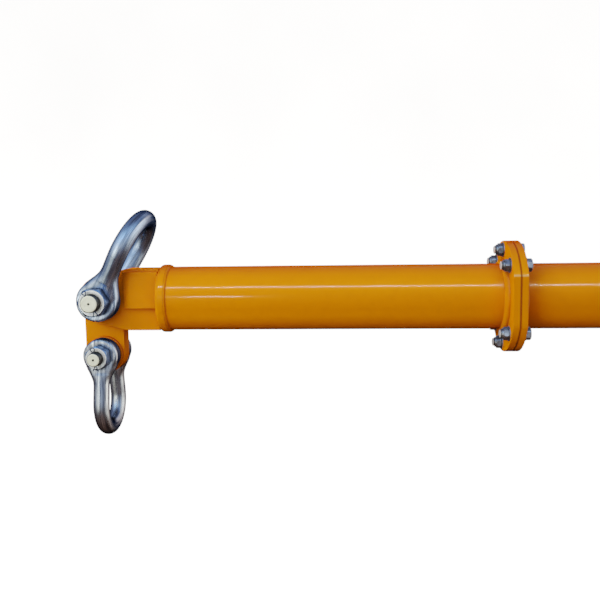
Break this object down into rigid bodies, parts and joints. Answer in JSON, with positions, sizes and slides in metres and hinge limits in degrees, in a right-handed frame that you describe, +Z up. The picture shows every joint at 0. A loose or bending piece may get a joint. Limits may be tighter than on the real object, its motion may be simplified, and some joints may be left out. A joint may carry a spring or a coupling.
{
  "type": "spreader beam",
  "caption": "Tubular spreader beam with bolted strut flanges, forked ends, drop links and bow shackles above and below for slings.",
  "frame": {"origin": "middle of the beam, half way between the two upper pin axes, on the tube axis", "axes": "+X along the beam towards the right end, +Y away from the viewer (across the beam), +Z up in use"},
  "size_m": [2.76, 0.2605, 0.6062],
  "materials": {
    "paint": "semi-gloss orange-yellow industrial paint",
    "weld": "painted weld bead",
    "galvanised": "glossy hot-dip galvanised forged steel",
    "zinc": "pale zinc-plated steel",
    "steel": "plain bright steel wire",
    "bolt_zinc": "zinc-plated bolt set"
  },
  "bodies": {
    "beam": {"end_tube_left": "paint", "end_plate_left": "paint", "plate_weld_left": "weld", "fork_front_left": "paint", "fork_rear_left": "paint", "fork_pads_left": "paint", "fork_welds_left": "weld", "end_flange_left": "paint", "flange_weld_left": "weld", "joint_bolts_left": "bolt_zinc", "joint_nuts_left": "bolt_zinc", "joint_washers_left": "bolt_zinc", "end_tube_right": "paint", "end_plate_right": "paint", "plate_weld_right": "weld", "fork_front_right": "paint", "fork_rear_right": "paint", "fork_pads_right": "paint", "fork_welds_right": "weld", "end_flange_right": "paint", "flange_weld_right": "weld", "joint_bolts_right": "bolt_zinc", "joint_nuts_right": "bolt_zinc", "joint_washers_right": "bolt_zinc", "strut_tube": "paint", "strut_flange_left": "paint", "strut_flange_right": "paint", "strut_welds": "weld"},
    "link_left": {"drop_link_left": "paint", "link_bosses_left": "paint"},
    "upper_shackle_left": {"upper_bow_left": "galvanised"},
    "upper_pin_set_left": {"upper_pin_left": "zinc", "upper_nut_left": "zinc", "upper_cotter_left": "steel"},
    "lower_shackle_left": {"lower_bow_left": "galvanised"},
    "lower_pin_set_left": {"lower_pin_left": "zinc", "lower_nut_left": "zinc", "lower_cotter_left": "steel"},
    "link_right": {"drop_link_right": "paint", "link_bosses_right": "paint"},
    "upper_shackle_right": {"upper_bow_right": "galvanised"},
    "upper_pin_set_right": {"upper_pin_right": "zinc", "upper_nut_right": "zinc", "upper_cotter_right": "steel"},
    "lower_shackle_right": {"lower_bow_right": "galvanised"},
    "lower_pin_set_right": {"lower_pin_right": "zinc", "lower_nut_right": "zinc", "lower_cotter_right": "steel"}
  },
  "joints": [
    {"name": "link_swing_left", "type": "hinge", "parent": "beam", "child": "link_left", "pos_m": [-1.318, 0, 0], "axis": [0, 1, 0], "range_deg": [-25, 25]},
    {"name": "upper_shackle_swing_left", "type": "hinge", "parent": "beam", "child": "upper_shackle_left", "pos_m": [-1.318, 0, 0], "axis": [0, 1, 0], "range_deg": [-118, 8]},
    {"name": "upper_pin_turn_left", "type": "hinge", "parent": "upper_shackle_left", "child": "upper_pin_set_left", "pos_m": [-1.318, 0, 0], "axis": [0, 1, 0], "continuous": true},
    {"name": "lower_shackle_swing_left", "type": "hinge", "parent": "link_left", "child": "lower_shackle_left", "pos_m": [-1.318, 0, -0.146], "axis": [0, 1, 0], "range_deg": [-60, 60]},
    {"name": "lower_pin_turn_left", "type": "hinge", "parent": "lower_shackle_left", "child": "lower_pin_set_left", "pos_m": [-1.318, 0, -0.146], "axis": [0, 1, 0], "continuous": true},
    {"name": "link_swing_right", "type": "hinge", "parent": "beam", "child": "link_right", "pos_m": [1.318, 0, 0], "axis": [0, 1, 0], "range_deg": [-25, 25]},
    {"name": "upper_shackle_swing_right", "type": "hinge", "parent": "beam", "child": "upper_shackle_right", "pos_m": [1.318, 0, 0], "axis": [0, -1, 0], "range_deg": [-118, 8]},
    {"name": "upper_pin_turn_right", "type": "hinge", "parent": "upper_shackle_right", "child": "upper_pin_set_right", "pos_m": [1.318, 0, 0], "axis": [0, 1, 0], "continuous": true},
    {"name": "lower_shackle_swing_right", "type": "hinge", "parent": "link_right", "child": "lower_shackle_right", "pos_m": [1.318, 0, -0.146], "axis": [0, 1, 0], "range_deg": [-60, 60]},
    {"name": "lower_pin_turn_right", "type": "hinge", "parent": "lower_shackle_right", "child": "lower_pin_set_right", "pos_m": [1.318, 0, -0.146], "axis": [0, 1, 0], "continuous": true}
  ]
}
